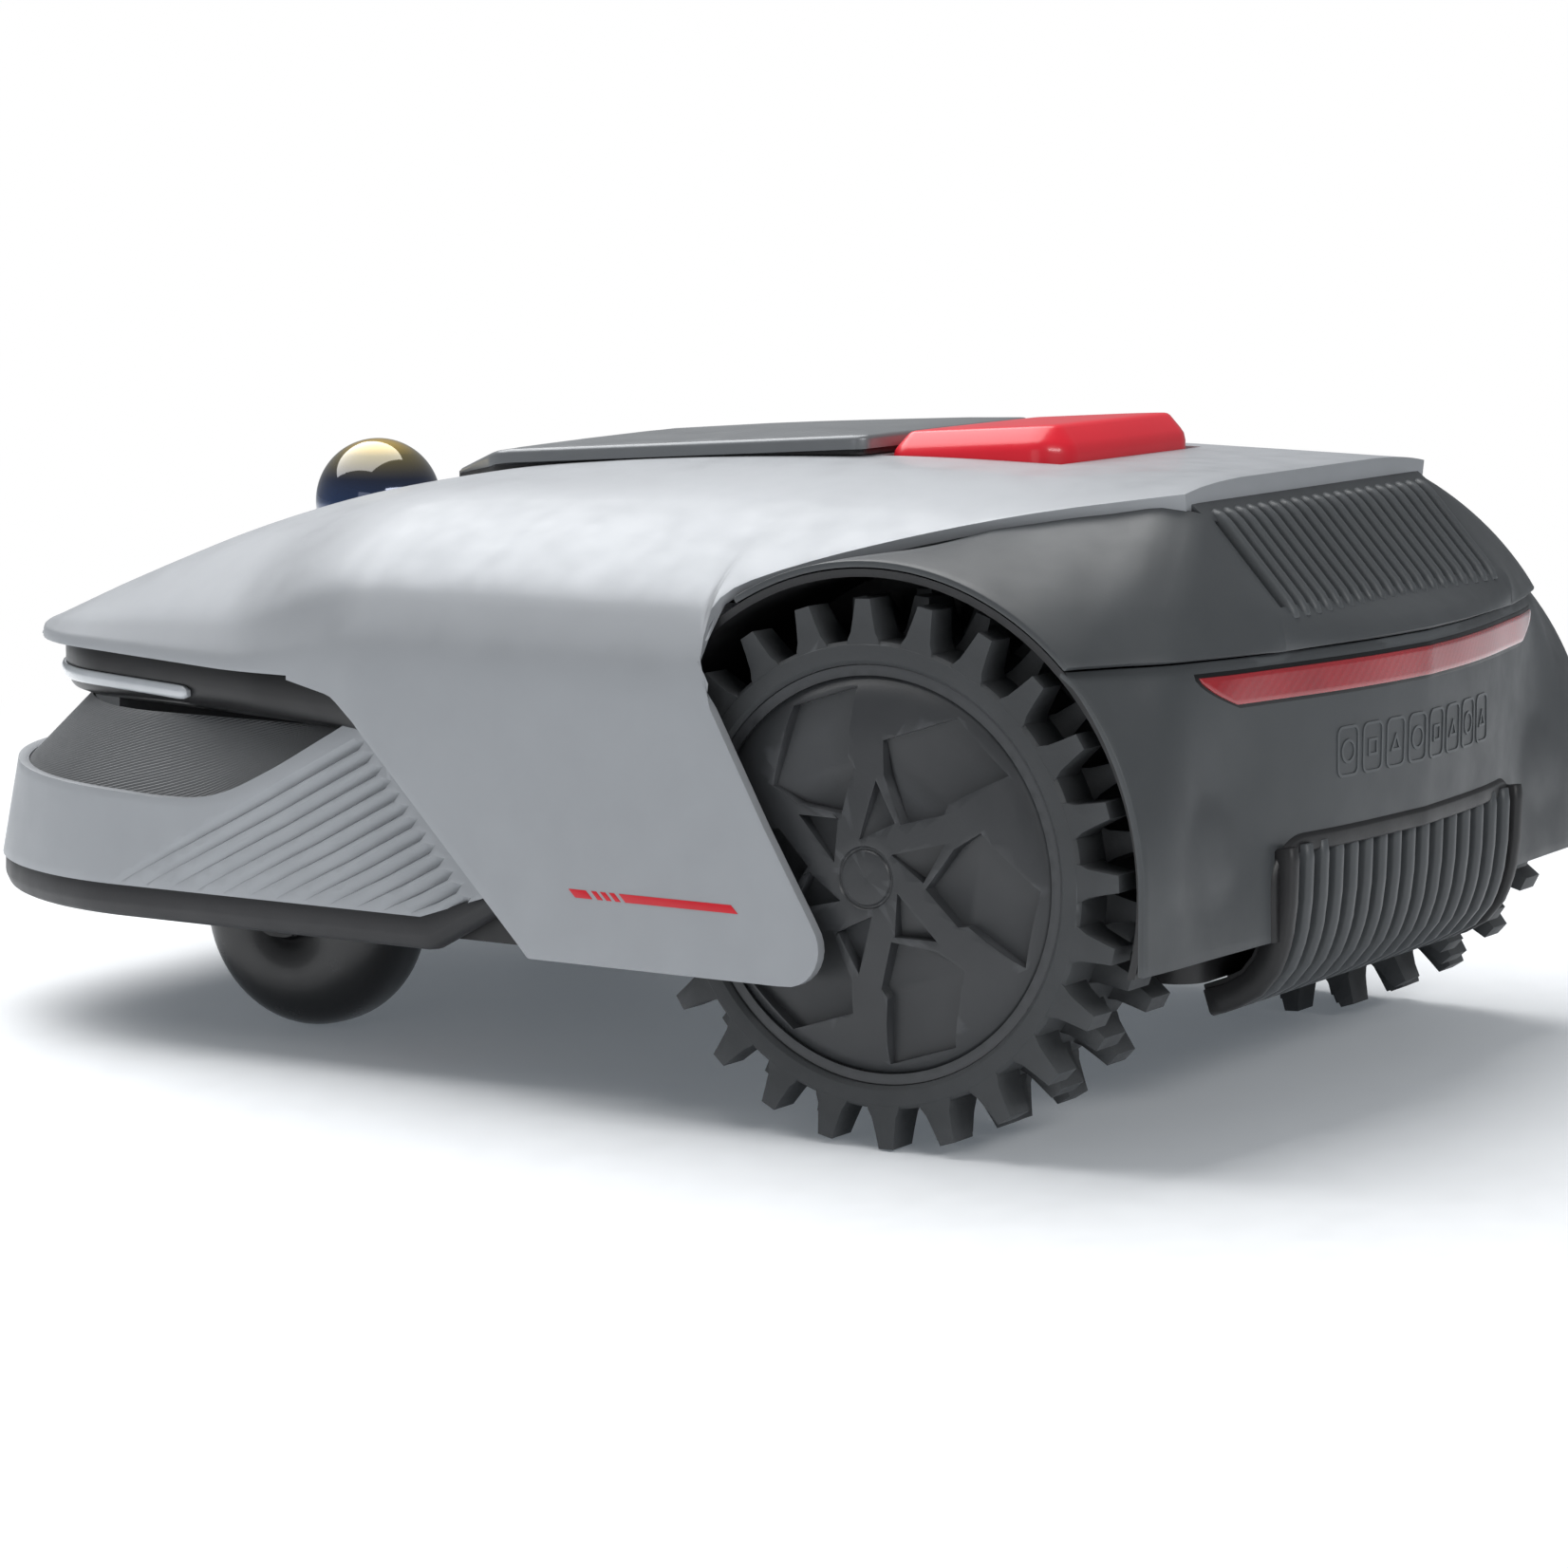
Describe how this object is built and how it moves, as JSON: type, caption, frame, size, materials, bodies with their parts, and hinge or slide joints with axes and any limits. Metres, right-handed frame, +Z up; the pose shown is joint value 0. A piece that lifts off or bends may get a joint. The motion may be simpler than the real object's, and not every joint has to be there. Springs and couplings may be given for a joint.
{
  "type": "robotic lawn mower",
  "caption": "Low robotic lawn mower with a silver hood, sensor dome, red stop button, large cleated rear wheels, front casters and a height-adjustable blade disc",
  "frame": {"origin": "on the floor, under the centre of the overall box", "axes": "+Z up, -Y forwards (direction of travel), +X to the mower's left"},
  "size_m": [0.437, 0.643, 0.267],
  "materials": {
    "silver": "satin painted silver-grey, lightly metallic",
    "charcoal": "fine matte charcoal",
    "black": "matte black",
    "gloss_black": "smooth gloss black",
    "lid_grey": "satin dark grey",
    "stop_red": "satin red",
    "tail_red": "clear red lens",
    "light_lens": "frosted grey lens",
    "dome_glass": "dark blue coated glass",
    "rubber": "matte tread rubber",
    "hub": "satin dark grey",
    "roller": "smooth black",
    "steel": "brushed",
    "aluminium": "cast, bead blasted",
    "copper": "plated contact",
    "board": "solder-masked board",
    "display": "dark display glass",
    "key": "soft-touch grey",
    "battery": "shrink-wrapped pack"
  },
  "bodies": {
    "chassis": {"top_shell": "silver", "front_trim": "black", "nose_plate": "silver", "visor_band": "gloss_black", "light_strip": "light_lens", "dome_base": "gloss_black", "sensor_dome": "dome_glass", "lid_surround": "black", "control_tray": "black", "lid_hinge_pin": "steel", "display": "display", "stop_pan": "black", "stop_switch": "black", "chassis_base": "black", "battery_pack": "battery", "battery_cover": "black", "cover_screws": "steel", "main_board": "board", "charging_contacts": "copper", "drive_motors": "aluminium", "drive_gearboxes": "black", "wheel_bearings": "steel", "arch_liners": "black", "caster_bushes": "black", "guide_rods": "steel", "height_bridge": "aluminium", "height_motor": "aluminium", "rear_upper_cover": "charcoal", "louvre_panel": "black", "rear_lower_cover": "charcoal", "tail_light": "tail_red", "rear_grille": "black"},
    "scanner": {"scanner_head": "black"},
    "lid": {"lid": "lid_grey"},
    "key_home": {"key_home": "key"},
    "key_mow": {"key_mow": "key"},
    "key_power": {"key_power": "key"},
    "knob": {"selector_knob": "key"},
    "stop_button": {"stop_button": "stop_red"},
    "bumper": {"bumper_shell": "silver", "bumper_scoop": "charcoal", "bumper_skirt": "black"},
    "wheel_left": {"wheel_left_tyre": "rubber", "wheel_left_rim": "hub", "wheel_left_hubcap": "hub"},
    "wheel_right": {"wheel_right_tyre": "rubber", "wheel_right_rim": "hub", "wheel_right_hubcap": "hub"},
    "caster_left": {"caster_left_fork": "black"},
    "caster_left_roller": {"caster_left_wheel": "roller"},
    "caster_right": {"caster_right_fork": "black"},
    "caster_right_roller": {"caster_right_wheel": "roller"},
    "carriage": {"cutting_carriage": "black", "cutting_motor": "aluminium"},
    "lead_screw": {"lead_screw": "steel"},
    "disc": {"blade_disc": "black", "blade_screws": "steel"},
    "blade_1": {"blade_1": "steel"},
    "blade_2": {"blade_2": "steel"},
    "blade_3": {"blade_3": "steel"}
  },
  "joints": [
    {"name": "scanner_spin", "type": "hinge", "parent": "chassis", "child": "scanner", "pos_m": [0, -0.195, 0.217], "axis": [0, 0, 1], "continuous": true},
    {"name": "lid_hinge", "type": "hinge", "parent": "chassis", "child": "lid", "pos_m": [0, -0.127, 0.231], "axis": [1, 0, 0], "range_deg": [0, 75]},
    {"name": "key_home_press", "type": "slide", "parent": "chassis", "child": "key_home", "axis": [0, 0, 1], "range_m": [-0.0015, 0], "stiffness_N_per_m": 400, "springref_m": 0.001},
    {"name": "key_mow_press", "type": "slide", "parent": "chassis", "child": "key_mow", "axis": [0, 0, 1], "range_m": [-0.0015, 0], "stiffness_N_per_m": 400, "springref_m": 0.001},
    {"name": "key_power_press", "type": "slide", "parent": "chassis", "child": "key_power", "axis": [0, 0, 1], "range_m": [-0.0015, 0], "stiffness_N_per_m": 400, "springref_m": 0.001},
    {"name": "knob_turn", "type": "hinge", "parent": "chassis", "child": "knob", "pos_m": [0, -0.062, 0.226], "axis": [0, 0, 1], "continuous": true},
    {"name": "stop_press", "type": "slide", "parent": "chassis", "child": "stop_button", "axis": [0, 0, 1], "range_m": [-0.004, 0], "stiffness_N_per_m": 1500, "springref_m": 0.003},
    {"name": "bumper_press", "type": "slide", "parent": "chassis", "child": "bumper", "axis": [0, 1, 0], "range_m": [0, 0.004], "stiffness_N_per_m": 1500, "springref_m": -0.004},
    {"name": "wheel_left_spin", "type": "hinge", "parent": "chassis", "child": "wheel_left", "pos_m": [0.171, 0.1873, 0.105], "axis": [1, 0, 0], "continuous": true},
    {"name": "wheel_right_spin", "type": "hinge", "parent": "chassis", "child": "wheel_right", "pos_m": [-0.171, 0.1873, 0.105], "axis": [1, 0, 0], "continuous": true},
    {"name": "caster_left_swivel", "type": "hinge", "parent": "chassis", "child": "caster_left", "pos_m": [0.105, -0.177, 0.13], "axis": [0, 0, 1], "continuous": true},
    {"name": "caster_left_spin", "type": "hinge", "parent": "caster_left", "child": "caster_left_roller", "pos_m": [0.105, -0.152, 0.052], "axis": [1, 0, 0], "continuous": true},
    {"name": "caster_right_swivel", "type": "hinge", "parent": "chassis", "child": "caster_right", "pos_m": [-0.105, -0.177, 0.13], "axis": [0, 0, 1], "continuous": true},
    {"name": "caster_right_spin", "type": "hinge", "parent": "caster_right", "child": "caster_right_roller", "pos_m": [-0.105, -0.152, 0.052], "axis": [1, 0, 0], "continuous": true},
    {"name": "cutting_height", "type": "slide", "parent": "chassis", "child": "carriage", "axis": [0, 0, 1], "range_m": [-0.02, 0.02]},
    {"name": "lead_screw_turn", "type": "hinge", "parent": "chassis", "child": "lead_screw", "pos_m": [0, -0.03, 0.13], "axis": [0, 0, 1], "range_deg": [-450, 450]},
    {"name": "disc_spin", "type": "hinge", "parent": "carriage", "child": "disc", "pos_m": [0, 0.028, 0.054], "axis": [0, 0, 1], "continuous": true},
    {"name": "blade_1_pivot", "type": "hinge", "parent": "disc", "child": "blade_1", "pos_m": [0, 0.113, 0.0509], "axis": [0, 0, 1], "continuous": true},
    {"name": "blade_2_pivot", "type": "hinge", "parent": "disc", "child": "blade_2", "pos_m": [-0.07361, -0.0145, 0.0509], "axis": [0, 0, 1], "continuous": true},
    {"name": "blade_3_pivot", "type": "hinge", "parent": "disc", "child": "blade_3", "pos_m": [0.07361, -0.0145, 0.0509], "axis": [0, 0, 1], "continuous": true}
  ],
  "couplings": [
    {"joint": "lead_screw_turn", "follows": "cutting_height", "rad_per_m": 392.7}
  ]
}
